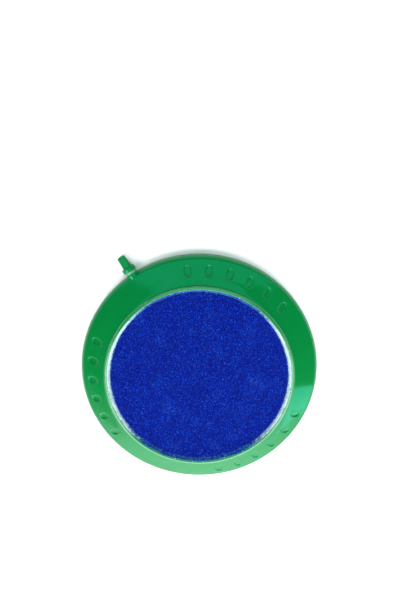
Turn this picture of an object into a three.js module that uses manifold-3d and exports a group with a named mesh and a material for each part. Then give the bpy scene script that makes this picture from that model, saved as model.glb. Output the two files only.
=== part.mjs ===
// Round air stone for an aquarium: a plastic housing shaped like a low hat, a disc of bonded grit in its
// crown, a glued base plate under the air chamber, and a nipple for the airline tubing.
// Millimetres, +Z up. The origin is on the disc's axis, on the plane that the part stands on.
// The nipple points along +X.
import * as THREE from 'three';
import { mergeVertices } from 'three/addons/utils/BufferGeometryUtils.js';
import Module from 'manifold-3d';

const wasm = await Module();
wasm.setup();

// Housing
const DISC_DIAMETER = 101.6;
const TOTAL_HEIGHT = 13.6;
const RIM_HEIGHT = 4.8;
const RIM_EDGE_RADIUS = 1.5;
const SHELL_WALL = 1.6;
const LIP_DIAMETER = 79.2;
const LIP_WIDTH = 1.4;
const LIP_RISE = 0.9;
const CUP_WALL = 2.1;

// Oval dimples in the skirt
const DIMPLE_GROUPS = 3;
const DIMPLES_PER_GROUP = 6;
const DIMPLE_PITCH_DEG = 11;
const DIMPLE_FIRST_GROUP_DEG = -54.6;
const DIMPLE_LENGTH = 5.7;
const DIMPLE_WIDTH = 3.1;
const DIMPLE_DEPTH = 0.6;

// Air chamber, stone and base plate
const BASE_THICKNESS = 1.3;
const BASE_GLUE_WIDTH = 1.5;
const CHAMBER_HEIGHT = 3.9;
const LEDGE_WIDTH = 1.9;
const STONE_RECESS = 1.3;
const STONE_EDGE_CHAMFER = 1.2;
const BEAD_WIDTH = 0.9;
const BEAD_THICKNESS = 0.2;

// Ribs
const SKIRT_RIBS = 12;
const SKIRT_RIB_WIDTH = 1.2;
const SKIRT_RIB_FOOT = 0.8;
const STONE_RIB_WIDTH = 1.6;
const STONE_RIB_PAIRS = 6;
const LONG_RIB_START = 6;
const SHORT_RIB_START = 18;
const RIB_END_MARGIN = 4;

// Air inlet, along +X
const INLET_HEIGHT = 3.2;
const PASSAGE_DIAMETER = 1.8;
const NOZZLE_TIP_DIAMETER = 3.3;
const NOZZLE_ROOT_DIAMETER = 4.0;
const NOZZLE_LENGTH = 5.25;
const NOZZLE_TIP_CHAMFER = 0.25;
const COLLAR_DIAMETER = 5.8;
const COLLAR_LENGTH = 1.8;
const NECK_DIAMETER = 3.0;
const NECK_INSERTION = 7;
const BOSS_WALL = 0.9;
const BOSS_STANDOFF = 0.4;
const NECK_GAP = 1.1;

// Clearances
const SEAT_GAP = 0.3;
const STONE_GAP = 0.4;
const OVERCUT = 1;

// Facets
const DISC_SEGMENTS = 72;
const INLET_SEGMENTS = 24;
const EDGE_STEPS = 3;
const LIP_STEPS = 8;
const DIMPLE_END_STEPS = 5;

// Worked out from the values above
const discRadius = DISC_DIAMETER / 2;
const lipRadius = LIP_DIAMETER / 2;
const cupRadius = lipRadius - LIP_WIDTH;
const cupOuterRadius = cupRadius + CUP_WALL;
const ledgeRadius = cupRadius - LEDGE_WIDTH;
const skirtTop = TOTAL_HEIGHT - LIP_RISE;
const skirtSlope = (skirtTop - RIM_HEIGHT) / (discRadius - lipRadius);
const skirtAngle = Math.atan(skirtSlope);
const rebateHeight = BASE_THICKNESS + SEAT_GAP;
const rebateRadius = cupOuterRadius - SHELL_WALL;
const baseRadius = rebateRadius - BASE_GLUE_WIDTH;
const ledgeTop = BASE_THICKNESS + CHAMBER_HEIGHT;
const stoneBottom = ledgeTop + SEAT_GAP;
const stoneTop = TOTAL_HEIGHT - STONE_RECESS;
const stoneRadius = cupRadius - STONE_GAP;
const neckBore = NECK_DIAMETER / 2 + SEAT_GAP;
const bossRadius = neckBore + BOSS_WALL;
const bossFace = discRadius + BOSS_STANDOFF;
const collarStart = bossFace + NECK_GAP;
const collarEnd = collarStart + COLLAR_LENGTH;
const nozzleEnd = collarEnd + NOZZLE_LENGTH;
const neckEnd = bossFace - NECK_INSERTION;

/** Height of the skirt's outer face at radius r. */
function skirtHeight(r) {
  return RIM_HEIGHT + (discRadius - r) * skirtSlope;
}

/** Height of the skirt's inner face at radius r. */
function skirtUnderside(r) {
  return skirtHeight(r) - SHELL_WALL / Math.cos(skirtAngle);
}

/** Points of an arc in the (radius, height) plane, angles in radians. */
function arc(r, z, radius, from, to, steps) {
  const points = [];
  for (let i = 0; i <= steps; i++) {
    const a = from + ((to - from) * i) / steps;
    points.push([r + radius * Math.cos(a), z + radius * Math.sin(a)]);
  }
  return points;
}

/** A closed geometry as a solid that can be joined and cut. */
function solid(geometry) {
  geometry.deleteAttribute('normal');
  geometry.deleteAttribute('uv');
  const merged = mergeVertices(geometry, 1e-4);
  const vertProperties = merged.attributes.position.array;
  const triVerts = new Uint32Array(merged.index.array);
  return new wasm.Manifold(new wasm.Mesh({ numProp: 3, vertProperties, triVerts }));
}

/** Solids joined into one. */
function joined(solids) {
  return solids.reduce((all, one) => all.add(one));
}

/**
 * A shape turned about Z from the corners of its section, as [radius, height] pairs, which run
 * counterclockwise when the axis is at the left. A section that doesn't reach the axis makes a ring.
 */
function turned(section, segments = DISC_SEGMENTS) {
  const outline = section.map(([r, z]) => new THREE.Vector2(r, z));
  if (section[0][0] > 0) outline.push(outline[0].clone());
  return new THREE.LatheGeometry(outline, segments).rotateX(Math.PI / 2);
}

/** A round bar on the inlet's axis, from one place along X to another. */
function inletBar(radius, from, to) {
  const bar = turned([[0, from], [radius, from], [radius, to], [0, to]], INLET_SEGMENTS);
  return solid(bar.rotateY(Math.PI / 2).translate(0, 0, INLET_HEIGHT));
}

/** A box between its lowest and highest corners. */
function block(low, high) {
  const size = high.map((value, i) => value - low[i]);
  const middle = high.map((value, i) => (value + low[i]) / 2);
  return new THREE.BoxGeometry(...size).translate(...middle);
}

/** Copies of a geometry turned about Z, joined: one for each of the evenly spaced angles in degrees. */
function fan(geometry, count, firstAngle, spacing = 360 / count) {
  const copies = Array.from({ length: count }, (_, i) => {
    const angle = THREE.MathUtils.degToRad(firstAngle + i * spacing);
    return solid(geometry.clone().rotateZ(angle));
  });
  return joined(copies);
}

/** The housing without its inlet, dimples and ribs. */
function housingShell() {
  const edgeRun = RIM_EDGE_RADIUS * Math.tan((Math.PI / 2 - skirtAngle) / 2);
  const edge = arc(
    discRadius - RIM_EDGE_RADIUS,
    RIM_HEIGHT - edgeRun,
    RIM_EDGE_RADIUS,
    0,
    Math.PI / 2 - skirtAngle,
    EDGE_STEPS,
  );
  const lipHalf = LIP_WIDTH / 2;
  const lip = arc(lipRadius - lipHalf, TOTAL_HEIGHT - lipHalf, lipHalf, 0, Math.PI, LIP_STEPS);
  const wallFoot = discRadius - SHELL_WALL;
  return solid(turned([
    [wallFoot, 0],
    [discRadius, 0],
    ...edge,
    [lipRadius, skirtTop],
    ...lip,
    [cupRadius, ledgeTop],
    [ledgeRadius, ledgeTop],
    [ledgeRadius, rebateHeight],
    [rebateRadius, rebateHeight],
    [rebateRadius, 0],
    [cupOuterRadius, 0],
    [cupOuterRadius, skirtUnderside(cupOuterRadius)],
    [wallFoot, skirtUnderside(wallFoot)],
  ]));
}

/** The space under the skirt, reaching into the walls round it, from the ribs' feet up. */
function underSkirt() {
  const sink = SHELL_WALL / 2;
  const inner = cupOuterRadius - sink;
  const outer = discRadius - SHELL_WALL + sink;
  return solid(turned([
    [inner, SKIRT_RIB_FOOT],
    [outer, SKIRT_RIB_FOOT],
    [outer, skirtUnderside(outer) + sink],
    [inner, skirtUnderside(inner) + sink],
  ]));
}

/** Radial ribs under the skirt and the channel that carries the air from the rim wall to the cup wall. */
function skirtRibs() {
  const half = SKIRT_RIB_WIDTH / 2;
  const rib = block([cupRadius, -half, 0], [discRadius, half, TOTAL_HEIGHT]);
  const halfStep = 180 / SKIRT_RIBS;
  const channel = solid(block([cupRadius, -bossRadius, 0], [discRadius, bossRadius, TOTAL_HEIGHT]));
  return fan(rib, SKIRT_RIBS, halfStep).add(channel).intersect(underSkirt());
}

/** An oval cutter for one dimple, square to the skirt, at angle 0. */
function dimpleCutter() {
  const half = DIMPLE_WIDTH / 2;
  const run = DIMPLE_LENGTH / 2 - half;
  const outline = new THREE.Shape();
  outline.absarc(run, 0, half, -Math.PI / 2, Math.PI / 2);
  outline.absarc(-run, 0, half, Math.PI / 2, (3 * Math.PI) / 2);
  const settings = { depth: DIMPLE_DEPTH + OVERCUT, bevelEnabled: false, curveSegments: DIMPLE_END_STEPS };
  const cutter = new THREE.ExtrudeGeometry(outline, settings).translate(0, 0, -DIMPLE_DEPTH);
  const middle = (discRadius + lipRadius) / 2;
  return cutter.rotateY(skirtAngle).translate(middle, 0, skirtHeight(middle));
}

/** Every dimple's cutter, in its groups. */
function dimpleCutters() {
  const groups = Array.from({ length: DIMPLE_GROUPS }, (_, i) => {
    const middle = DIMPLE_FIRST_GROUP_DEG + (360 * i) / DIMPLE_GROUPS;
    const first = middle - (DIMPLE_PITCH_DEG * (DIMPLES_PER_GROUP - 1)) / 2;
    return fan(dimpleCutter(), DIMPLES_PER_GROUP, first, DIMPLE_PITCH_DEG);
  });
  return joined(groups);
}

/** The whole housing: shell, ribs, inlet boss and its stepped bore, with the dimples cut. */
function upperShell() {
  const boss = inletBar(bossRadius, discRadius - SHELL_WALL - BOSS_WALL, bossFace);
  const neckHole = inletBar(neckBore, neckEnd - SEAT_GAP, bossFace + OVERCUT);
  const passage = inletBar(PASSAGE_DIAMETER / 2, ledgeRadius - OVERCUT, bossFace);
  return joined([housingShell(), skirtRibs(), boss])
    .subtract(neckHole)
    .subtract(passage)
    .subtract(dimpleCutters());
}

/** The plate that closes the air chamber, with the ribs that carry the stone. */
function basePlate() {
  const ribTop = stoneBottom - SEAT_GAP;
  const ribFoot = BASE_THICKNESS / 2;
  const half = STONE_RIB_WIDTH / 2;
  const ribEnd = ledgeRadius - RIB_END_MARGIN;
  const spacing = 360 / STONE_RIB_PAIRS;
  const longRib = block([LONG_RIB_START, -half, ribFoot], [ribEnd, half, ribTop]);
  const shortRib = block([SHORT_RIB_START, -half, ribFoot], [ribEnd, half, ribTop]);
  const plate = turned([[0, 0], [baseRadius, 0], [baseRadius, BASE_THICKNESS], [0, BASE_THICKNESS]]);
  return joined([
    solid(plate),
    fan(longRib, STONE_RIB_PAIRS, spacing / 2),
    fan(shortRib, STONE_RIB_PAIRS, 0),
  ]);
}

/** The disc of bonded grit, with a bevelled top edge that leaves room for the bead of adhesive. */
function stoneDisc() {
  return solid(turned([
    [0, stoneBottom],
    [stoneRadius, stoneBottom],
    [stoneRadius, stoneTop - STONE_EDGE_CHAMFER],
    [stoneRadius - STONE_EDGE_CHAMFER, stoneTop],
    [0, stoneTop],
  ]));
}

/** The bead of adhesive in the corner between the stone's bevel and the lip, flat on top. */
function stoneBondBead() {
  const outer = cupRadius - SEAT_GAP;
  const inner = outer - BEAD_WIDTH;
  const gapUp = SEAT_GAP * Math.SQRT2;
  const bevelHeight = (r) => stoneTop - STONE_EDGE_CHAMFER + (stoneRadius - r) + gapUp;
  const top = bevelHeight(inner) + BEAD_THICKNESS;
  return solid(turned([
    [inner, bevelHeight(inner)],
    [outer, bevelHeight(outer)],
    [outer, top],
    [inner, top],
  ]));
}

/** The ring of adhesive that seals the base plate into the housing. */
function baseBondRing() {
  const inner = baseRadius + SEAT_GAP;
  const outer = rebateRadius - SEAT_GAP;
  return solid(turned([
    [inner, SEAT_GAP],
    [outer, SEAT_GAP],
    [outer, BASE_THICKNESS],
    [inner, BASE_THICKNESS],
  ]));
}

/** The nipple: neck, collar and tapered nozzle, with the air passage through it. Its axis is Z. */
function inletNipple() {
  const passage = PASSAGE_DIAMETER / 2;
  const tip = NOZZLE_TIP_DIAMETER / 2;
  const section = [
    [passage, neckEnd],
    [NECK_DIAMETER / 2, neckEnd],
    [NECK_DIAMETER / 2, collarStart],
    [COLLAR_DIAMETER / 2, collarStart],
    [COLLAR_DIAMETER / 2, collarEnd],
    [NOZZLE_ROOT_DIAMETER / 2, collarEnd],
    [tip, nozzleEnd - NOZZLE_TIP_CHAMFER],
    [tip - NOZZLE_TIP_CHAMFER, nozzleEnd],
    [passage, nozzleEnd],
  ];
  return solid(turned(section, INLET_SEGMENTS));
}

/** The ring of adhesive round the nipple's neck, between the boss and the collar. Its axis is Z. */
function nippleBondRing() {
  const inner = neckBore;
  const outer = bossRadius - SEAT_GAP;
  const from = bossFace + SEAT_GAP;
  const to = collarStart - SEAT_GAP;
  return solid(turned([[inner, from], [outer, from], [outer, to], [inner, to]], INLET_SEGMENTS));
}

/** A named mesh of a solid. */
function meshOf(name, shape, material) {
  const { vertProperties, triVerts } = shape.getMesh();
  const geometry = new THREE.BufferGeometry();
  geometry.setAttribute('position', new THREE.BufferAttribute(new Float32Array(vertProperties), 3));
  geometry.setIndex(new THREE.BufferAttribute(new Uint32Array(triVerts), 1));
  geometry.computeVertexNormals();
  const mesh = new THREE.Mesh(geometry, new THREE.MeshStandardMaterial(material));
  mesh.name = name;
  return mesh;
}

const greenPlastic = { color: 0x0a9a50, roughness: 0.3, metalness: 0 };
const blueGrit = { color: 0x1030a0, roughness: 0.9, metalness: 0 };
const clearAdhesive = { color: 0xc4dce0, roughness: 0.35, metalness: 0 };

const airStone = new THREE.Group();
airStone.add(
  meshOf('upper_shell', upperShell(), greenPlastic),
  meshOf('base_plate', basePlate(), greenPlastic),
  meshOf('stone_disc', stoneDisc(), blueGrit),
  meshOf('stone_bond_bead', stoneBondBead(), clearAdhesive),
  meshOf('base_bond_ring', baseBondRing(), clearAdhesive),
);

const inlet = new THREE.Group();
inlet.position.set(0, 0, INLET_HEIGHT);
inlet.rotation.y = Math.PI / 2;
inlet.add(
  meshOf('inlet_nipple', inletNipple(), greenPlastic),
  meshOf('nipple_bond_ring', nippleBondRing(), clearAdhesive),
);
airStone.add(inlet);

export default airStone;
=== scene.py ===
"""Looks, light and camera for a round aquarium air stone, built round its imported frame."""
import math
import random

import bpy
import bmesh
from mathutils import Matrix, Vector


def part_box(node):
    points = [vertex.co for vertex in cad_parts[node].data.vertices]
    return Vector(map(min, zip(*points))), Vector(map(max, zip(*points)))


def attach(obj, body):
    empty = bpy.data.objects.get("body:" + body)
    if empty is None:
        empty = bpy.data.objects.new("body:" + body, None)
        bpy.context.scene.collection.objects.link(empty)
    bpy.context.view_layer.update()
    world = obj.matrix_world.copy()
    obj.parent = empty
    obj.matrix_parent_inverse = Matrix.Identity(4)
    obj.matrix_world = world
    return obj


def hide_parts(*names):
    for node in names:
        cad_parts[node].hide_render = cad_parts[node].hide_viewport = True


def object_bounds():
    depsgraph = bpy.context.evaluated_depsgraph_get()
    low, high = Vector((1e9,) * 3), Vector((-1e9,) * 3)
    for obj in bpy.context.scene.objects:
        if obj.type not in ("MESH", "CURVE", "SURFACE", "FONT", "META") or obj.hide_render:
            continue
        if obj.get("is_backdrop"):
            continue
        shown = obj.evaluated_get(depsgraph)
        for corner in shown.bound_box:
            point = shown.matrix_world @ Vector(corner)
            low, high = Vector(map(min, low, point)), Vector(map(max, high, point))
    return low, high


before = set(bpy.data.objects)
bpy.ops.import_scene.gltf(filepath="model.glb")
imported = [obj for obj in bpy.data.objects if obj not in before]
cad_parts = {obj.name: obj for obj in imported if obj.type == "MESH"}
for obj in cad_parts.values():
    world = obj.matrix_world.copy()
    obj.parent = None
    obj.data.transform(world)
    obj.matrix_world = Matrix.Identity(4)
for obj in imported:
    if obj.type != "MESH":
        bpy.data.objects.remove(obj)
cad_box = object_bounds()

MM = 0.001
Z_AXIS = (0, 0, 1)
BODY = "root"
SAME_PLACE = 0.01 * MM
WELD_REACH = 0.005 * MM
BOND_GAP = 0.3 * MM

# Places that come from the frame
_, shell_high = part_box("upper_shell")
plate_low, plate_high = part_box("base_plate")
stone_low, stone_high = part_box("stone_disc")
nipple_low, nipple_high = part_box("inlet_nipple")
glue_low, glue_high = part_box("base_bond_ring")
_, neck_ring_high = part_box("nipple_bond_ring")
DISC_R = shell_high.y
HEIGHT = shell_high.z
BOSS_FACE = shell_high.x
STONE_R = stone_high.x
STONE_TOP = stone_high.z
STONE_BOTTOM = stone_low.z
INLET_Z = (nipple_low.z + nipple_high.z) / 2
COLLAR_R = nipple_high.y

# Housing
RIM_H = 4.8 * MM
WALL = 1.6 * MM
LIP_R = 39.6 * MM
LIP_WIDTH = 1.4 * MM
SKIRT_TOP = HEIGHT - 0.9 * MM
CUP_R = LIP_R - LIP_WIDTH
CUP_OUTER_R = CUP_R + 2.1 * MM
LEDGE_R = CUP_R - 1.9 * MM
LEDGE_TOP = STONE_BOTTOM - BOND_GAP
REBATE_R = glue_high.y + BOND_GAP
REBATE_TOP = plate_low.z + 1.6 * MM
SKIRT_SLOPE = (SKIRT_TOP - RIM_H) / (DISC_R - LIP_R)
SKIRT_ANGLE = math.atan(SKIRT_SLOPE)
SKIRT_LENGTH = math.hypot(DISC_R - LIP_R, SKIRT_TOP - RIM_H)
SOFT_CORNER = 0.4 * MM
CRISP_CORNER = 0.22 * MM
LIP_CORNER = 0.16 * MM
LIP_SHOULDER = 0.35 * MM

# Dimples, in groups round the skirt with plain stretches between them
GROUPS = 3
GROUP_COUNT = 6
DIMPLE_STEP = math.radians(11)
PLAIN_COUNT = 5
PLAIN_STEP = (math.tau / GROUPS - DIMPLE_STEP * GROUP_COUNT) / PLAIN_COUNT
FIRST_GROUP = math.radians(-54.6)
DIMPLE_HALF_L = 2.85 * MM
DIMPLE_R = 1.55 * MM
DIMPLE_DEPTH = 0.5 * MM
DIMPLE_EDGE = 0.2 * MM
DIMPLE_MARGIN = 0.4 * MM
OVAL_SHRINK = 0.93
OVAL_CORNER = 0.7
BOWL_STEPS = ((0.14 * MM, 0.5), (0.28 * MM, 0.3), (0.35 * MM, 0.2))
DIMPLE_ROWS = [0.5 + DIMPLE_HALF_L / SKIRT_LENGTH * k for k in (-1, -1 / 3, 1 / 3, 1)]
SKIRT_ROWS = (0.075, 0.16, *DIMPLE_ROWS, 0.86, 0.965)
PATCH_ANGLE = 0.4

# Ribs, boss and bores of the housing
RIB_COUNT = 12
RIB_FIRST = math.radians(15)
RIB_WIDTH = 1.2 * MM
RIB_FOOT = 0.8 * MM
RIB_DRAFT = 0.75
RIB_EDGE = 0.2 * MM
BOSS_R = 2.7 * MM
BOSS_EDGE = 0.35 * MM
BORE_MOUTH = 0.15 * MM
PASSAGE_R = 0.9 * MM
NECK_BORE_R = 1.8 * MM
SEAT_GAP = 0.3 * MM

# Air inlet
NECK_R = 1.5 * MM
NECK_END = nipple_low.x
COLLAR_X = neck_ring_high.x + BOND_GAP
COLLAR_END = COLLAR_X + 1.8 * MM
NOZZLE_ROOT_R = 2.0 * MM
NOZZLE_TIP_R = 1.65 * MM

# Base plate
PLATE_THICKNESS = 1.3 * MM
PLATE_TOP_ROUND = 0.25 * MM
PLATE_FOOT_ROUND = 0.35 * MM
PLATE_RIB_WIDTH = 1.6 * MM
PLATE_RIB_OVERLAP = 0.4 * MM
PLATE_RIB_PAIRS = 6
LONG_RIB_START = 6 * MM
SHORT_RIB_START = 18 * MM
PLATE_RIB_END = LEDGE_R - 4 * MM
PIN_COUNT = 6
PIN_R = 2.2 * MM
PIN_DEPTH = 0.15 * MM
PIN_CIRCLE = 22 * MM
GATE_R = 3.2 * MM
GATE_DEPTH = 0.5 * MM

# Beads of adhesive
GLUE_BITE = 0.02 * MM
GLUE_ROUND = 0.25 * MM

# Stone and what sticks to it
STONE_EDGE_COUNT = 840
STONE_EDGE_DROP = 0.45 * MM
STONE_EDGE_REACH = STONE_EDGE_DROP * 1.6
STONE_WALL_ROWS = (0.3 * MM, 0.3 * MM, 0.6 * MM)
GRAIN_MM = 0.55
FINE_GRAIN_MM = 0.27
GRAIN_DEPTH = 0.16 * MM
GRIT_COUNT = 320
GRIT_R = 0.2 * MM
GRIT_SEED = 11
# The two opposite sides where the lip's highlight is painted: into the edge glue, and by crowding the
# loose grit.
HIGHLIGHT_SIDE_AT = math.radians(54)
HIGHLIGHT_SIDE_WAY = (math.cos(HIGHLIGHT_SIDE_AT), math.sin(HIGHLIGHT_SIDE_AT), 0)

# Colours, linear
GREEN_DEEP = (0.0001, 0.108, 0.016, 1)
GREEN_PALE = (0.0002, 0.142, 0.032, 1)
SHEEN_AQUA = (0.25, 1, 0.85, 1)
GREEN_DUST = (0.2, 0.3, 0.24, 1)
# Painted shade colour for the gaps between grains.
BLUE_PORE_SHADE = (0.0001, 0.001, 0.045, 1)
BLUE_DEEP = (0.0002, 0.003, 0.105, 1)
BLUE_BODY = (0.0003, 0.0105, 0.228, 1)
BLUE_PALE = (0.003, 0.062, 0.53, 1)
BLUE_DUST = (0.07, 0.13, 0.33, 1)
BLUE_HAZE = (0.012, 0.07, 0.4, 1)
CHIP_WHITE = (0.4, 0.46, 0.5, 1)
DUSTY_CLEAR = (0.002, 0.045, 0.13, 1)
DUSTY_MILK = (0.012, 0.17, 0.27, 1)
SEAM_CLEAR = (0.03, 0.2, 0.09, 1)
SEAM_MILK = (0.2, 0.38, 0.28, 1)
# Painted highlight: the white painted into the edge glue on the lip's two bright sides.
GLUE_HIGHLIGHT_WHITE = (0.5, 0.64, 0.66, 1)
BOARD_GREYS = ((0.71, 0.71, 0.71, 1), (0.75, 0.75, 0.75, 1))
WHITE_LIGHT = (1, 1, 1)
AQUA_LIGHT = (0.25, 1, 0.9)

# Floor, room and camera, with angles in degrees and the lens in millimetres
FLOOR_SIZE = 1.2
SKY_BRIGHT_BELOW = 0.5
SKY_DIM_ABOVE = 9
SKY_DIM = 0.22
POWER_PER_RADIANCE = 4
VIEW_AZIMUTH = -32.9
VIEW_TILT = 21.67
VIEW_DISTANCE = 0.3
VIEW_ROLL = 179.3
LENS = 41.05
SENSOR = 36
NEAREST = 0.01
AIM_UP = 30.1 * MM
AIM_ASIDE = 0.65 * MM


# ---------------------------------------------------------------- modelling tools

def start(piece, mode="EDIT"):
    """Makes a piece the only one selected, and opens it in a mode."""
    if bpy.context.object and bpy.context.object.mode != "OBJECT":
        bpy.ops.object.mode_set(mode="OBJECT")
    bpy.ops.object.select_all(action="DESELECT")
    if piece:
        piece.select_set(True)
        bpy.context.view_layer.objects.active = piece
        bpy.ops.object.mode_set(mode=mode)
    return piece


def named(name):
    """Names the primitive that was just added, and puts its place into its mesh."""
    piece = bpy.context.object
    piece.name = piece.data.name = name
    bpy.ops.object.transform_apply(location=True, rotation=True, scale=True)
    return piece


def pick(piece, kind, test):
    """Selects only the vertices, edges or faces that pass a test, in edit mode."""
    bpy.ops.mesh.select_mode(type=kind)
    bpy.ops.mesh.select_all(action="DESELECT")
    mesh = bmesh.from_edit_mesh(piece.data)
    for item in {"VERT": mesh.verts, "EDGE": mesh.edges, "FACE": mesh.faces}[kind]:
        if test(item):
            item.select_set(True)
    mesh.select_flush_mode()
    bmesh.update_edit_mesh(piece.data)


def move(*value, **settings):
    """Moves the selection."""
    bpy.ops.transform.translate(value=value, **settings)


def turn(angle, axis="Z", centre=(0, 0, 0)):
    """Turns the selection anticlockwise about an axis. The operator counts angles the other way."""
    bpy.ops.transform.rotate(value=-angle, orient_axis=axis, center_override=centre)


def resize(x, y, z, centre=(0, 0, 0)):
    """Scales the selection from a centre."""
    bpy.ops.transform.resize(value=(x, y, z), center_override=centre)


def section(name, points, closed=True):
    """An outline in the XZ plane, drawn by pulling one vertex from point to point. Stays in edit mode."""
    start(None)
    bpy.ops.mesh.primitive_plane_add(size=MM, location=(points[0][0], 0, points[0][1]))
    piece = named(name)
    bpy.ops.object.mode_set(mode="EDIT")
    bpy.ops.mesh.select_mode(type="VERT")
    bpy.ops.mesh.merge(type="CENTER")
    for (r0, z0), (r1, z1) in zip(points, points[1:]):
        step = {"value": (r1 - r0, 0, z1 - z0)}
        bpy.ops.mesh.extrude_vertices_move(TRANSFORM_OT_translate=step)
    if closed:
        ends = [Vector((points[i][0], 0, points[i][1])) for i in (0, -1)]
        pick(piece, "VERT", lambda v: min((v.co - end).length for end in ends) < SAME_PLACE)
        bpy.ops.mesh.edge_face_add()
    bpy.ops.mesh.select_all(action="SELECT")
    return piece


def spin(steps, angle=math.tau, axis=Z_AXIS, centre=(0, 0, 0)):
    """Sweeps the selection anticlockwise about an axis. The operator counts angles the other way."""
    bpy.ops.mesh.spin(steps=steps, angle=-angle, axis=axis, center=centre)


def weld(piece):
    """Merges doubles and points the faces outwards."""
    bpy.ops.mesh.select_all(action="SELECT")
    bpy.ops.mesh.remove_doubles(threshold=WELD_REACH)
    bpy.ops.mesh.normals_make_consistent(inside=False)
    return piece


def finish_with(piece, kind, **settings):
    """Adds a modifier and applies it."""
    start(piece, "OBJECT")
    modifier = piece.modifiers.new(kind.lower(), kind)
    for key, value in settings.items():
        setattr(modifier, key, value)
    bpy.ops.object.modifier_apply(modifier=modifier.name)
    return piece


def combine(piece, other, operation):
    """Joins another solid to a piece or cuts it out of it, and removes the other."""
    finish_with(piece, "BOOLEAN", operation=operation, object=other, solver="EXACT")
    bpy.data.objects.remove(other)
    return piece


def smooth(piece, angle=35):
    """Shades a piece smooth, except at edges sharper than an angle in degrees."""
    start(piece, "OBJECT")
    bpy.ops.object.shade_smooth_by_angle(angle=math.radians(angle))
    return piece


def lathe(name, outline, steps, rounded=None, axis=Z_AXIS, centre=(0, 0, 0), closed=False):
    """Turns an outline about an axis. Corners given by number are rounded before it is swept."""
    piece = section(name, outline, closed)
    for corner, radius in (rounded or {}).items():
        spot = Vector((outline[corner][0], 0, outline[corner][1]))
        pick(piece, "VERT", lambda v: (v.co - spot).length < SAME_PLACE)
        bpy.ops.mesh.bevel(offset=radius, segments=4, affect="VERTICES", clamp_overlap=False)
    bpy.ops.mesh.select_all(action="SELECT")
    spin(steps, axis=axis, centre=centre)
    weld(piece)
    bpy.ops.object.mode_set(mode="OBJECT")
    return piece


def inlet_lathe(name, outline, rounded=None, steps=48):
    """Turns an outline of places along X and radii about the inlet's axis."""
    raised = [(x, INLET_Z + r) for x, r in outline]
    return lathe(name, raised, steps, rounded, (1, 0, 0), (0, 0, INLET_Z), closed=outline[0][1] > 0)


def lumpy(piece, size, depth, kind="CLOUDS", middle=0.5):
    """Pushes a surface in and out by a solid noise texture of a given grain size."""
    texture = bpy.data.textures.new(piece.name, kind)
    texture.noise_scale = size
    return finish_with(
        piece, "DISPLACE", texture=texture, texture_coords="LOCAL", strength=depth, mid_level=middle
    )


def joined(parts):
    """Makes several pieces one."""
    start(None)
    for part in parts:
        part.select_set(True)
    bpy.context.view_layer.objects.active = parts[0]
    bpy.ops.object.join()
    return parts[0]


# ---------------------------------------------------------------- housing

def skirt_point(share):
    """A point on the skirt's outer face, from 0 at the rim to 1 at the lip."""
    return (DISC_R + (LIP_R - DISC_R) * share, RIM_H + (SKIRT_TOP - RIM_H) * share)


def skirt_under(r):
    """Height of the skirt's inner face at a radius."""
    return RIM_H + (DISC_R - r) * SKIRT_SLOPE - WALL / math.cos(SKIRT_ANGLE)


def shell_section():
    """The housing's section as a cage, with two points at each rounded corner and the dimples' rows."""
    foot = DISC_R - WALL
    soft, crisp, curl = SOFT_CORNER, CRISP_CORNER, LIP_CORNER
    lip_mid = LIP_R - LIP_WIDTH / 2
    shoulder = HEIGHT - LIP_SHOULDER
    under_skirt = (CUP_OUTER_R + 2 * soft, (CUP_OUTER_R + foot) / 2, foot - soft)
    return [
        (foot, soft), (foot + soft, 0), (DISC_R - soft, 0), (DISC_R, soft),
        (DISC_R, RIM_H / 2), (DISC_R, RIM_H - 1.0 * MM),
        *[skirt_point(share) for share in SKIRT_ROWS],
        (LIP_R, SKIRT_TOP + 0.25 * MM), (LIP_R, shoulder), (LIP_R - curl, HEIGHT - curl),
        (lip_mid + 0.2 * MM, HEIGHT), (lip_mid - 0.2 * MM, HEIGHT),
        (CUP_R + curl, HEIGHT - curl), (CUP_R, shoulder), (CUP_R, HEIGHT - 1.4 * MM),
        (CUP_R, LEDGE_TOP + crisp), (CUP_R - crisp, LEDGE_TOP),
        (LEDGE_R + crisp, LEDGE_TOP), (LEDGE_R, LEDGE_TOP - crisp),
        (LEDGE_R, REBATE_TOP + crisp), (LEDGE_R + crisp, REBATE_TOP),
        (REBATE_R - crisp, REBATE_TOP), (REBATE_R, REBATE_TOP - crisp),
        (REBATE_R, crisp), (REBATE_R + crisp, 0),
        (CUP_OUTER_R - crisp, 0), (CUP_OUTER_R, crisp), (CUP_OUTER_R, RIM_H),
        (CUP_OUTER_R, skirt_under(CUP_OUTER_R) - 2 * soft),
        *[(r, skirt_under(r)) for r in under_skirt],
        (foot, skirt_under(foot) - soft),
    ]


def pull_vertex(piece, index, target):
    """Moves one vertex to a point."""
    verts = bmesh.from_edit_mesh(piece.data).verts
    verts.ensure_lookup_table()
    step = target - verts[index].co
    pick(piece, "VERT", lambda v: v.index == index)
    move(*step)


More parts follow.
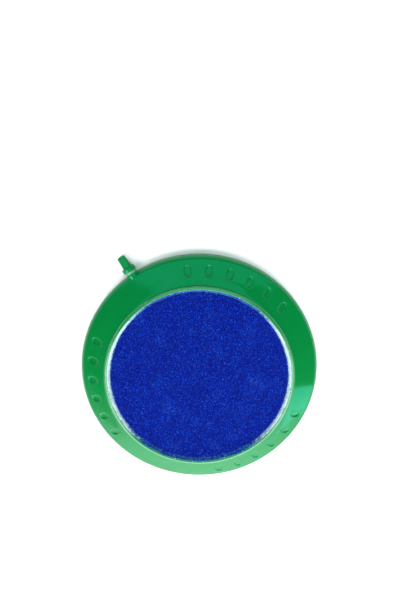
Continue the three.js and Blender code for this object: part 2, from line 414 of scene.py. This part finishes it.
def sink_dimple(piece):
    """Turns the six skirt faces in the middle of a sector into one sunken oval."""
    low, high = skirt_point(DIMPLE_ROWS[0])[0], skirt_point(DIMPLE_ROWS[-1])[0]
    outward = Vector((math.sin(SKIRT_ANGLE), 0, math.cos(SKIRT_ANGLE)))
    uphill = Vector((-math.cos(SKIRT_ANGLE), 0, math.sin(SKIRT_ANGLE)))
    middle = Vector((skirt_point(0.5)[0], 0, skirt_point(0.5)[1]))

    def on_patch(face):
        centre = face.calc_center_median()
        return face.normal.angle(outward) < PATCH_ANGLE and high < math.hypot(centre.x, centre.y) < low

    pick(piece, "FACE", on_patch)
    bpy.ops.mesh.inset(thickness=DIMPLE_MARGIN, depth=0)
    chosen = [v for v in bmesh.from_edit_mesh(piece.data).verts if v.select]
    chosen.sort(key=lambda v: (v.co - middle).dot(uphill))
    rows = [[v.index for v in sorted(chosen[i:i + 3], key=lambda v: v.co.y)] for i in (0, 3, 6, 9)]
    run = DIMPLE_HALF_L - DIMPLE_R
    wide = DIMPLE_R / OVAL_SHRINK + DIMPLE_EDGE
    # The first and last rows make the oval's ends. The two between them make its widest part.
    for row, (end, spread) in zip(rows, ((-1, OVAL_CORNER), (-1, 1), (1, 1), (1, OVAL_CORNER))):
        for index, side in zip(row, (-1, 0, 1)):
            if spread == 1:
                reach = run * OVAL_CORNER
            else:
                reach = run + wide * (1 if side == 0 else OVAL_CORNER)
            across = side * spread * wide
            # The skirt is a cone, so a point beside the middle line lies a little lower.
            droop = across ** 2 * math.sin(SKIRT_ANGLE) / (2 * middle.x)
            target = middle + uphill * end * reach + Vector((0, across, 0)) - outward * droop
            pull_vertex(piece, index, target)
    indices = {index for row in rows for index in row}
    pick(piece, "FACE", lambda f: all(v.index in indices for v in f.verts))
    bpy.ops.mesh.inset(thickness=DIMPLE_EDGE, depth=0)
    for width, share in BOWL_STEPS:
        bpy.ops.mesh.inset(thickness=width, depth=-share * DIMPLE_DEPTH)
    return piece


def repeat_round(piece, step, count):
    """Repeats all of a piece round the axis, each copy one step further on."""
    bpy.ops.mesh.select_all(action="SELECT")
    for _ in range(count - 1):
        bpy.ops.mesh.duplicate()
        turn(step)
    bpy.ops.object.mode_set(mode="OBJECT")
    return piece


def sector(name, step):
    """One sector of the housing's cage, centred on +X and two faces wide."""
    piece = section(name, shell_section())
    turn(-step / 2)
    spin(2, step)
    return weld(piece)


def housing_cage():
    """The housing's cage: groups of sectors with a dimple, and plain sectors between the groups."""
    dimpled = sink_dimple(sector("upper_shell_green", DIMPLE_STEP))
    repeat_round(dimpled, DIMPLE_STEP, GROUP_COUNT)
    plain = repeat_round(sector("plain", PLAIN_STEP), PLAIN_STEP, PLAIN_COUNT)
    start(plain)
    bpy.ops.mesh.select_all(action="SELECT")
    turn(DIMPLE_STEP * (GROUP_COUNT - 0.5) + PLAIN_STEP / 2)
    bpy.ops.object.mode_set(mode="OBJECT")
    start(joined([dimpled, plain]))
    bpy.ops.mesh.select_all(action="SELECT")
    turn(FIRST_GROUP - DIMPLE_STEP * (GROUP_COUNT - 1) / 2)
    repeat_round(dimpled, math.tau / GROUPS, GROUPS)
    start(dimpled)
    weld(dimpled)
    bpy.ops.object.mode_set(mode="OBJECT")
    return dimpled


def skirt_ribs():
    """The ribs under the skirt: one tapered web, turned round the axis."""
    inner, outer = CUP_OUTER_R - WALL / 2, DISC_R - WALL / 2
    start(None)
    bpy.ops.mesh.primitive_cube_add(
        size=1,
        location=((inner + outer) / 2, 0, (RIB_FOOT + RIM_H) / 2),
        scale=(outer - inner, RIB_WIDTH, RIM_H - RIB_FOOT),
    )
    piece = start(named("ribs"))
    for r in (inner, outer):
        pick(piece, "VERT", lambda v: v.co.z > RIB_FOOT + MM and abs(v.co.x - r) < MM)
        move(0, 0, skirt_under(r) + WALL / 2 - RIM_H)
    pick(piece, "FACE", lambda f: f.normal.z < -0.9)
    resize(1, RIB_DRAFT, 1)
    bpy.ops.mesh.bevel(offset=RIB_EDGE, segments=2)
    bpy.ops.mesh.select_all(action="SELECT")
    turn(RIB_FIRST)
    return repeat_round(piece, math.tau / RIB_COUNT, RIB_COUNT)


def inlet_boss():
    """A round boss for the air inlet, from the cup's wall out through the rim."""
    outline = [
        (CUP_OUTER_R - WALL / 2, 0), (CUP_OUTER_R - WALL / 2, BOSS_R),
        (BOSS_FACE, BOSS_R), (BOSS_FACE, 0),
    ]
    return inlet_lathe("boss", outline, rounded={2: BOSS_EDGE})


def inlet_bore():
    """The bore for the inlet's neck, and the narrow air passage on into the cup."""
    outline = [
        (LEDGE_R - MM, 0), (LEDGE_R - MM, PASSAGE_R), (NECK_END - SEAT_GAP, PASSAGE_R),
        (NECK_END - SEAT_GAP, NECK_BORE_R), (BOSS_FACE - BORE_MOUTH, NECK_BORE_R),
        (BOSS_FACE + MM, NECK_BORE_R + BORE_MOUTH + MM), (BOSS_FACE + MM, 0),
    ]
    return inlet_lathe("bore", outline)


def green_housing():
    """The moulded housing, with its ribs and boss joined on and the inlet bored through."""
    piece = finish_with(housing_cage(), "SUBSURF", levels=2, render_levels=2)
    combine(piece, skirt_ribs(), "UNION")
    combine(piece, inlet_boss(), "UNION")
    combine(piece, inlet_bore(), "DIFFERENCE")
    return smooth(piece)


# ---------------------------------------------------------------- air inlet

def air_inlet():
    """The push-in inlet: neck, collar and tapered nozzle, bored right through."""
    tip = nipple_high.x
    outline = [
        (NECK_END, PASSAGE_R), (NECK_END, NECK_R), (COLLAR_X, NECK_R), (COLLAR_X, COLLAR_R),
        (COLLAR_END, COLLAR_R), (COLLAR_END, NOZZLE_ROOT_R), (tip, NOZZLE_TIP_R), (tip, PASSAGE_R),
    ]
    rounded = {1: 0.3 * MM, 3: 0.3 * MM, 4: 0.45 * MM, 5: 0.5 * MM, 6: 0.35 * MM, 7: 0.15 * MM}
    return smooth(inlet_lathe("air_inlet", outline, rounded), angle=40)


def inlet_glue():
    """The squeezed-out ring of adhesive between the boss and the inlet's collar."""
    foot, end, waist = BOSS_FACE - GLUE_BITE, COLLAR_X + GLUE_BITE, 0.3 * MM
    outline = [
        (foot, NECK_R), (foot, 2.35 * MM), (BOSS_FACE + waist, 2.25 * MM),
        (COLLAR_X - waist, 2.3 * MM), (end, 2.5 * MM), (end, NECK_R),
    ]
    piece = inlet_lathe("inlet_glue", outline, rounded={2: 0.1 * MM, 3: 0.1 * MM}, steps=72)
    return smooth(lumpy(piece, size=0.9 * MM, depth=0.12 * MM), angle=60)


# ---------------------------------------------------------------- base plate

def base_plate():
    """The plate that closes the cup: ribs on top, a gate mark and pin marks underneath."""
    edge, top = plate_high.x, plate_low.z + PLATE_THICKNESS
    outline = [(0, top), (edge, top), (edge, 0), (0, 0)]
    rounded = {1: PLATE_TOP_ROUND, 2: PLATE_FOOT_ROUND}
    piece = lathe("base_plate_moulded", outline, steps=144, rounded=rounded)
    combine(piece, plate_ribs(top), "UNION")
    combine(piece, underside_marks(), "DIFFERENCE")
    return smooth(piece, angle=30)


def plate_ribs(top):
    """Long and short ribs that carry the stone, turned round the axis."""
    parts = []
    step = math.tau / PLATE_RIB_PAIRS
    for first, inner in ((step / 2, LONG_RIB_START), (0, SHORT_RIB_START)):
        start(None)
        bpy.ops.mesh.primitive_cube_add(
            size=1,
            location=((inner + PLATE_RIB_END) / 2, 0, (top + plate_high.z - PLATE_RIB_OVERLAP) / 2),
            scale=(PLATE_RIB_END - inner, PLATE_RIB_WIDTH, plate_high.z - top + PLATE_RIB_OVERLAP),
        )
        piece = start(named("plate_ribs"))
        bpy.ops.mesh.select_all(action="SELECT")
        turn(first)
        parts.append(repeat_round(piece, step, PLATE_RIB_PAIRS))
    return joined(parts)


def underside_marks():
    """Shallow round recesses: the gate at the centre and a ring of ejector pins."""
    start(None)
    bpy.ops.mesh.primitive_cylinder_add(
        vertices=32, radius=PIN_R, depth=2 * PIN_DEPTH, location=(PIN_CIRCLE, 0, 0)
    )
    pins = start(named("pins"))
    bpy.ops.mesh.select_all(action="SELECT")
    step = math.tau / PIN_COUNT
    turn(step / 2)
    repeat_round(pins, step, PIN_COUNT)
    below = -0.2 * MM
    outline = [(0, below), (GATE_R, below), (GATE_R - GATE_DEPTH, GATE_DEPTH), (0, GATE_DEPTH)]
    return joined([pins, lathe("gate", outline, steps=48)])


def base_glue():
    """The adhesive line between the base plate and the housing, seen from below."""
    inner, outer = plate_high.x - GLUE_BITE, REBATE_R + GLUE_BITE
    low, high = glue_low.z - 0.05 * MM, REBATE_TOP
    outline = [(inner, low), (outer, low), (outer, high), (inner, high)]
    piece = lathe("base_glue", outline, steps=360, rounded={0: GLUE_ROUND, 1: GLUE_ROUND}, closed=True)
    return smooth(lumpy(piece, size=1.6 * MM, depth=0.2 * MM), angle=60)


# ---------------------------------------------------------------- stone

def blue_stone():
    """The pressed disc of grit: a fine round sheet with a soft edge, drawn down and roughened."""
    start(None)
    bpy.ops.mesh.primitive_circle_add(
        vertices=STONE_EDGE_COUNT, radius=STONE_R, location=(0, 0, STONE_TOP)
    )
    piece = start(named("blue_stone"))
    bpy.ops.mesh.select_all(action="SELECT")
    bpy.ops.mesh.fill_grid(span=STONE_EDGE_COUNT // 4)
    pick(piece, "EDGE", lambda e: e.is_boundary)
    soften = {"use_proportional_edit": True, "proportional_edit_falloff": "SPHERE"}
    move(0, 0, -STONE_EDGE_DROP, proportional_size=STONE_EDGE_REACH, **soften)
    rest_of_wall = STONE_TOP - STONE_BOTTOM - STONE_EDGE_DROP - sum(STONE_WALL_ROWS)
    for depth in (*STONE_WALL_ROWS, rest_of_wall):
        bpy.ops.mesh.extrude_region_move(TRANSFORM_OT_translate={"value": (0, 0, -depth)})
    bpy.ops.mesh.edge_face_add()
    weld(piece)
    lumpy(piece, size=6 * MM, depth=0.14 * MM)
    lumpy(piece, size=GRAIN_MM * MM, depth=GRAIN_DEPTH, kind="VORONOI", middle=0.4)
    return smooth(piece, angle=80)


def edge_glue():
    """The rough fillet of adhesive and dust between the stone and the cup's wall."""
    low, high = STONE_TOP - STONE_EDGE_DROP - 0.6 * MM, HEIGHT - 0.1 * MM
    outline = [
        (STONE_R - 0.6 * MM, low), (CUP_R + 0.45 * MM, low), (CUP_R + 0.45 * MM, high - 0.1 * MM),
        (CUP_R + 0.1 * MM, high), (CUP_R - 0.25 * MM, high - 0.4 * MM),
        (CUP_R - 0.6 * MM, STONE_TOP + 0.2 * MM), (STONE_R - 0.42 * MM, STONE_TOP - 0.02 * MM),
        (STONE_R - 0.7 * MM, STONE_TOP - 0.25 * MM),
    ]
    piece = lathe("edge_glue", outline, steps=720, closed=True)
    lumpy(piece, size=3.2 * MM, depth=0.3 * MM)
    return smooth(lumpy(piece, size=0.55 * MM, depth=0.24 * MM), angle=80)


def grit_places():
    """Angle, radius, height and size of each loose grain, crowded on the two opposite sides where the
    lip's highlight is painted, so the pale chips add to that painted highlight.
    """
    random.seed(GRIT_SEED)
    while True:
        angle = random.uniform(0, math.tau)
        # Painted highlight: more grains on the two sides where the lip's highlight is painted.
        crowd = 0.35 + 0.65 * math.cos(angle - HIGHLIGHT_SIDE_AT) ** 2
        if random.random() > crowd:
            continue
        r = CUP_R + random.gauss(-0.15, 0.3) * MM
        if r < CUP_R:
            z = STONE_TOP + random.uniform(-0.1, 0.15) * MM
        else:
            z = HEIGHT - 0.35 * MM + min(r - CUP_R, 0.3 * MM)
        yield Vector((r * math.cos(angle), r * math.sin(angle), z)), random.uniform(0.5, 1.35)


def loose_grit():
    """Single grains that cling to the glue and the lip: one chip, copied, turned and resized."""
    start(None)
    bpy.ops.mesh.primitive_ico_sphere_add(subdivisions=1, radius=GRIT_R)
    piece = start(named("loose_grit"))
    bpy.ops.mesh.select_all(action="SELECT")
    resize(1, 0.8, 0.65)
    spot, size = Vector((0, 0, 0)), 1
    for _, (target, new_size) in zip(range(GRIT_COUNT), grit_places()):
        if spot.length:
            bpy.ops.mesh.duplicate()
        move(*(target - spot))
        turn(random.uniform(0, math.tau), random.choice("XYZ"), target)
        resize(*[new_size / size] * 3, centre=target)
        spot, size = target, new_size
    return smooth(piece, angle=20)


# ---------------------------------------------------------------- finishes

class Wire:
    """A shader socket that can stand in a Python expression. Each operator adds a Math node."""

    def __init__(self, look, node, index=0):
        self.look, self.node, self.socket = look, node, node.outputs[index]

    def other(self, index):
        """Another output of the same node."""
        return Wire(self.look, self.node, index)

    def maths(self, operation, *values):
        """A Math node with these values or links."""
        return self.look.add("ShaderNodeMath", {"operation": operation}, dict(enumerate(values)))

    def __add__(self, value):
        return self.maths("ADD", self, value)

    def __sub__(self, value):
        return self.maths("SUBTRACT", self, value)

    def __rsub__(self, value):
        return self.maths("SUBTRACT", value, self)

    def __mul__(self, value):
        return self.maths("MULTIPLY", self, value)

    def __abs__(self):
        return self.maths("ABSOLUTE", self)

    def least(self, value):
        """This or another value, whichever is smaller."""
        return self.maths("MINIMUM", self, value)

    __radd__ = __add__

    def rise(self, low, high):
        """0 below one value and 1 above another, with a soft step between."""
        soft = {"interpolation_type": "SMOOTHSTEP"}
        return self.look.add("ShaderNodeMapRange", soft, {0: self, 1: low, 2: high, 3: 0, 4: 1})


class Look:
    """The nodes of a material, placed by the piece's own coordinates, or of the room."""

    def __init__(self, name, kind="materials"):
        self.owner = getattr(bpy.data, kind).new(name)
        self.owner.use_nodes = True
        self.tree = self.owner.node_tree
        self.tree.nodes.clear()
        self.place = self.add("ShaderNodeTexCoord").other(3)

    def add(self, kind, settings=None, sockets=None, output=0):
        """Any node: its settings first, then the value or link of each socket."""
        node = self.tree.nodes.new(kind)
        for key, value in (settings or {}).items():
            setattr(node, key, value)
        for key, value in (sockets or {}).items():
            if isinstance(value, Wire):
                self.tree.links.new(value.socket, node.inputs[key])
            else:
                node.inputs[key].default_value = value
        return Wire(self, node, output) if node.outputs else node

    def cloud(self, size, detail=2, roughness=0.5, place=None):
        """Soft noise from 0 to 1 with blobs of a size in millimetres."""
        sockets = {"Scale": 1 / (size * MM), "Detail": detail, "Roughness": roughness}
        return self.add("ShaderNodeTexNoise", {}, {"Vector": place or self.place, **sockets})

    def cells(self, size):
        """Distance to the middle of the nearest grain; the second output is that grain's own colour."""
        return self.add("ShaderNodeTexVoronoi", {}, {"Vector": self.place, "Scale": 1 / (size * MM)})

    def chance(self, cells):
        """A random number for each grain."""
        return self.add("ShaderNodeSeparateColor", {}, {0: cells.other(1)})

    def radius(self):
        """Distance from the disc's axis, in millimetres."""
        flat = self.add("ShaderNodeVectorMath", {"operation": "MULTIPLY"}, {0: self.place, 1: (1, 1, 0)})
        return self.add("ShaderNodeVectorMath", {"operation": "LENGTH"}, {0: flat}, 1) * (1 / MM)

    def height(self):
        """Height above the floor, in millimetres."""
        return self.add("ShaderNodeSeparateXYZ", {}, {0: self.place}, 2) * (1 / MM)

    def mix(self, first, second, share):
        """From one colour to another as the share goes from 0 to 1."""
        return self.add("ShaderNodeMix", {"data_type": "RGBA"}, {0: share, 6: first, 7: second}, 2)

    def streaks(self, length, width, angle, rarity):
        """Thin straight scratches that run one way, seen from above."""
        sockets = {"Rotation": (0, 0, math.radians(angle)), "Scale": (width / length, 1, 0)}
        turned = self.add("ShaderNodeMapping", {}, {"Vector": self.place, **sockets})
        line = 1 - abs(self.cloud(width * 12, 0, 0.3, turned) - 0.5).rise(0.004, 0.012)
        return line * self.cloud(length * 0.6, 1).rise(rarity, rarity + 0.08)

    def relief(self, height, depth, below=None):
        """A bump of a depth in millimetres."""
        sockets = {"Height": height, "Distance": depth * MM, "Strength": 1.0}
        if below:
            sockets["Normal"] = below
        return self.add("ShaderNodeBump", {}, sockets)

    def finish(self, **sockets):
        """The shader itself. Underscores in names stand for spaces."""
        named_sockets = {key.replace("_", " "): value for key, value in sockets.items()}
        shader = self.add("ShaderNodeBsdfPrincipled", {}, named_sockets)
        self.add("ShaderNodeOutputMaterial", {}, {0: shader})
        return self.owner


def green_plastic(name):
    """Glossy moulded green: faint flow marks, orange peel, hair scratches and a little dust in patches.
    """
    look = Look(name)
    flow = look.cloud(16, 3, 0.45)
    mottle = look.cloud(1.3, 3)
    smear = look.cloud(7, 4, 0.6).rise(0.42, 0.7)
    hair = look.streaks(14, 0.035, 24, 0.6) + look.streaks(11, 0.03, -51, 0.63)
    dust = look.cloud(0.5, 3, 0.7).rise(0.6, 0.72) * look.cloud(9, 2).rise(0.5, 0.75)
    tint = look.mix(GREEN_DEEP, GREEN_PALE, flow * 0.75 + mottle * 0.25)
    colour = look.mix(tint, GREEN_DUST, dust * 0.1 + hair * 0.03)
    lip = look.height().rise(SKIRT_TOP / MM, SKIRT_TOP / MM + 0.3)
    rough = 0.06 + smear * 0.05 + mottle * 0.03 + hair * 0.1 + dust * 0.25
    peel = look.relief(look.cloud(1.6, 2), 0.004)
    sink = look.relief(look.cloud(11, 2), 0.05, peel)
    scored = look.relief(1 - hair, 0.0015, sink)
    return look.finish(
        Base_Color=colour, Roughness=rough, Normal=scored, IOR=1.36, Specular_Tint=SHEEN_AQUA,
        Coat_Weight=lip, Coat_Roughness=0.1,
    )


def blue_grit(name):
    """Bonded blue grit: rough grains with painted shade in the gaps between them, a few pale or glinting
    ones, dusty at the edge.
    """
    look = Look(name)
    grain = look.cells(GRAIN_MM)
    fine = look.cells(FINE_GRAIN_MM)
    grain_luck, fine_luck = look.chance(grain), look.chance(fine)
    # Painted shade: the gaps between grains are darkened towards near-black blue.
    pore_shade = grain.rise(0.32, 0.72)
    patch = look.cloud(14, 3, 0.6)
    body = look.mix(BLUE_DEEP, BLUE_BODY, grain_luck * 0.45 + fine_luck * 0.3 + patch * 0.35)
    lit = look.mix(body, BLUE_PALE, fine_luck.rise(0.84, 0.95) * 0.7)
    shaded = look.mix(lit, BLUE_PORE_SHADE, pore_shade * 0.75)
    stone_r = STONE_R / MM
    edge = (look.radius() + look.cloud(2.4, 3) * 2.2).rise(stone_r + 0.1, stone_r + 1.2)
    dusty = look.mix(shaded, BLUE_DUST, edge * (0.35 + grain_luck * 0.4))
    haze = look.cloud(11, 4, 0.65).rise(0.5, 0.74) * look.cloud(0.9, 2).rise(0.35, 0.7)
    dusty = look.mix(dusty, BLUE_HAZE, haze * 0.3)
    rough = 0.92 - fine_luck.rise(0.9, 0.96) * 0.45
    grains = look.relief(1 - grain, 0.22)
    teeth = look.relief(1 - fine, 0.1, grains)
    return look.finish(Base_Color=dusty, Roughness=rough, Normal=teeth, Specular_IOR_Level=0.05)


def cloudy_glue(name, clear_tint, milk_tint, grit, white):
    """Dried adhesive: half clear and bubbled, with blue dust in it. Where white is set, it is also
    painted whiter along two opposite sides and towards the lip: a painted highlight.
    """
    look = Look(name)
    milk = look.cloud(1.8, 4, 0.6)
    bubble = look.cells(0.7)
    dot = {"operation": "DOT_PRODUCT"}
    across = look.add("ShaderNodeVectorMath", dot, {0: look.place, 1: HIGHLIGHT_SIDE_WAY}, 1)
    cup_r = CUP_R / MM
    outer = (look.radius() + look.cloud(0.5, 2) * 0.8).rise(cup_r - 0.6, cup_r) * 0.75 + 0.25
    # Painted highlight: whiter along two opposite sides and towards the outer edge on the lip, with the
    # milk noise breaking up its border.
    side_highlight = (abs(across) * (1 / CUP_R) + milk * 0.3).rise(0.72, 1.0) * outer * white
    caught = look.chance(look.cells(0.45)).rise(1 - grit, 1.1 - grit) * (1 - side_highlight * 0.65)
    milky = look.mix(look.mix(clear_tint, milk_tint, milk), GLUE_HIGHLIGHT_WHITE, side_highlight)
    colour = look.mix(milky, BLUE_BODY, caught)
    rough = 0.3 + milk * 0.25 + caught * 0.4
    clear = (0.72 + milk.rise(0.35, 0.65) * 0.14 + caught * 0.2).least(0.96)
    skin = look.relief(bubble.rise(0.1, 0.5), 0.05, look.relief(milk, 0.2))
    return look.finish(
        Base_Color=colour, Roughness=rough, Alpha=clear, Normal=skin, IOR=1.49, Specular_IOR_Level=0.25
    )


def loose_grains(name):
    """Broken grit: some chips blue, some whitened by glue."""
    look = Look(name)
    chance = look.chance(look.cells(0.6))
    powder = look.cloud(0.2, 2)
    colour = look.mix(look.mix(BLUE_BODY, BLUE_DUST, powder), CHIP_WHITE, chance.rise(0.3, 0.45) * 0.85)
    return look.finish(Base_Color=colour, Roughness=0.75 + powder * 0.2, Normal=look.relief(powder, 0.03))


def pale_floor(name):
    """Matt white board with a faint tooth."""
    look = Look(name)
    tooth = look.cloud(1.2, 3)
    colour = look.mix(*BOARD_GREYS, tooth)
    return look.finish(Base_Color=colour, Roughness=0.7 + tooth * 0.15, Normal=look.relief(tooth, 0.01))


def dress(piece, finish, node):
    """Gives a piece its finish, ties it to the body, and hides the frame's part that it stands for."""
    piece.data.materials.clear()
    piece.data.materials.append(finish)
    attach(piece, BODY)
    if node:
        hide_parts(node)


# ---------------------------------------------------------------- the object

green = green_plastic("glossy_green")
sintered = blue_grit("sintered_blue")
dress(green_housing(), green, "upper_shell")
dress(base_plate(), green, "base_plate")
dress(air_inlet(), green, "inlet_nipple")
dress(blue_stone(), sintered, "stone_disc")
# white=1 paints the lip's side highlight into this glue; the seam glue gets none.
edge_adhesive = cloudy_glue("edge_adhesive", DUSTY_CLEAR, DUSTY_MILK, grit=0.6, white=1)
seam_adhesive = cloudy_glue("seam_adhesive", SEAM_CLEAR, SEAM_MILK, grit=0.01, white=0)
dress(edge_glue(), edge_adhesive, "stone_bond_bead")
dress(base_glue(), seam_adhesive, "base_bond_ring")
dress(inlet_glue(), seam_adhesive, "nipple_bond_ring")
dress(loose_grit(), loose_grains("whitened_grit"), None)


# ---------------------------------------------------------------- floor, light and camera

def floor():
    """The board that the disc lies on."""
    start(None)
    bpy.ops.mesh.primitive_plane_add(size=FLOOR_SIZE)
    piece = named("floor")
    piece.data.materials.append(pale_floor("white_board"))
    piece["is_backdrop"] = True


def compass(azimuth, elevation):
    """A unit vector from an azimuth round the disc and an elevation, in degrees."""
    turn_by, rise_by = math.radians(azimuth), math.radians(elevation)
    flat = math.cos(rise_by)
    return Vector((math.cos(turn_by) * flat, math.sin(turn_by) * flat, math.sin(rise_by)))


def panel(name, azimuth, elevation, distance, size, radiance, colour=WHITE_LIGHT):
    """A flat softbox that faces the disc, as bright as its radiance says. Degrees and metres."""
    lamp = bpy.data.lights.new(name, "AREA")
    lamp.shape = "RECTANGLE"
    lamp.size, lamp.size_y = size
    lamp.energy = radiance * POWER_PER_RADIANCE * size[0] * size[1]
    lamp.color = colour
    box = bpy.data.objects.new(name, lamp)
    bpy.context.scene.collection.objects.link(box)
    box.visible_camera = False
    direction = compass(azimuth, elevation)
    box.location = direction * distance
    box.rotation_euler = direction.to_track_quat("Z", "Y").to_euler()


def sky():
    """The room round the floor: white at the horizon, dim grey above."""
    look = Look("studio", "worlds")
    direction = look.place.other(0)
    upward = look.add("ShaderNodeSeparateXYZ", {}, {0: direction}, 2)
    low, high = (math.sin(math.radians(angle)) for angle in (SKY_BRIGHT_BELOW, SKY_DIM_ABOVE))
    strength = 1 - upward.rise(low, high) * (1 - SKY_DIM)
    shader = look.add("ShaderNodeBackground", {}, {"Color": (1, 1, 1, 1), "Strength": strength})
    look.add("ShaderNodeOutputWorld", {}, {0: shader})
    return look.owner


def studio():
    """Softboxes at the sides, in front and high behind, a wide panel behind and a low card in front."""
    panel("side_light_a", 98, 53, 1.0, size=(0.54, 0.4), radiance=9)
    panel("side_light_b", -164, 53, 1.0, size=(0.54, 0.4), radiance=9)
    panel("front_light", VIEW_AZIMUTH + 180, 32, 1.0, size=(2.2, 0.9), radiance=2.7)
    panel("back_light", VIEW_AZIMUTH, 60, 1.2, size=(1.3, 0.8), radiance=2.0)
    panel("back_panel", VIEW_AZIMUTH, 30, 1.0, size=(2.6, 0.24), radiance=1.9, colour=AQUA_LIGHT)
    panel("low_card", VIEW_AZIMUTH + 193.5, 6.3, 1.0, size=(2.2, 0.22), radiance=4.3, colour=AQUA_LIGHT)
    bpy.context.scene.world = sky()
    bpy.context.scene.view_settings.view_transform = "Standard"


def camera():
    """A lens over the inlet's side of the disc, upside down so that the inlet is at the top."""
    lens = bpy.data.cameras.new("camera")
    lens.lens, lens.sensor_width = LENS, SENSOR
    lens.clip_start = NEAREST
    eye = bpy.data.objects.new("camera", lens)
    bpy.context.scene.collection.objects.link(eye)
    spot = compass(VIEW_AZIMUTH, 90 - VIEW_TILT) * VIEW_DISTANCE
    aim = compass(VIEW_AZIMUTH, 0) * AIM_UP + compass(VIEW_AZIMUTH - 90, 0) * AIM_ASIDE
    look_along = (aim - spot).to_track_quat("-Z", "Y").to_matrix().to_4x4()
    roll = Matrix.Rotation(math.radians(VIEW_ROLL), 4, "Z")
    eye.matrix_world = Matrix.Translation(spot) @ look_along @ roll
    bpy.context.scene.camera = eye


floor()
studio()
camera()
sizes = {"cad_box": cad_box, "visual_box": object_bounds()}
{name: [list(corner) for corner in box] for name, box in sizes.items()}
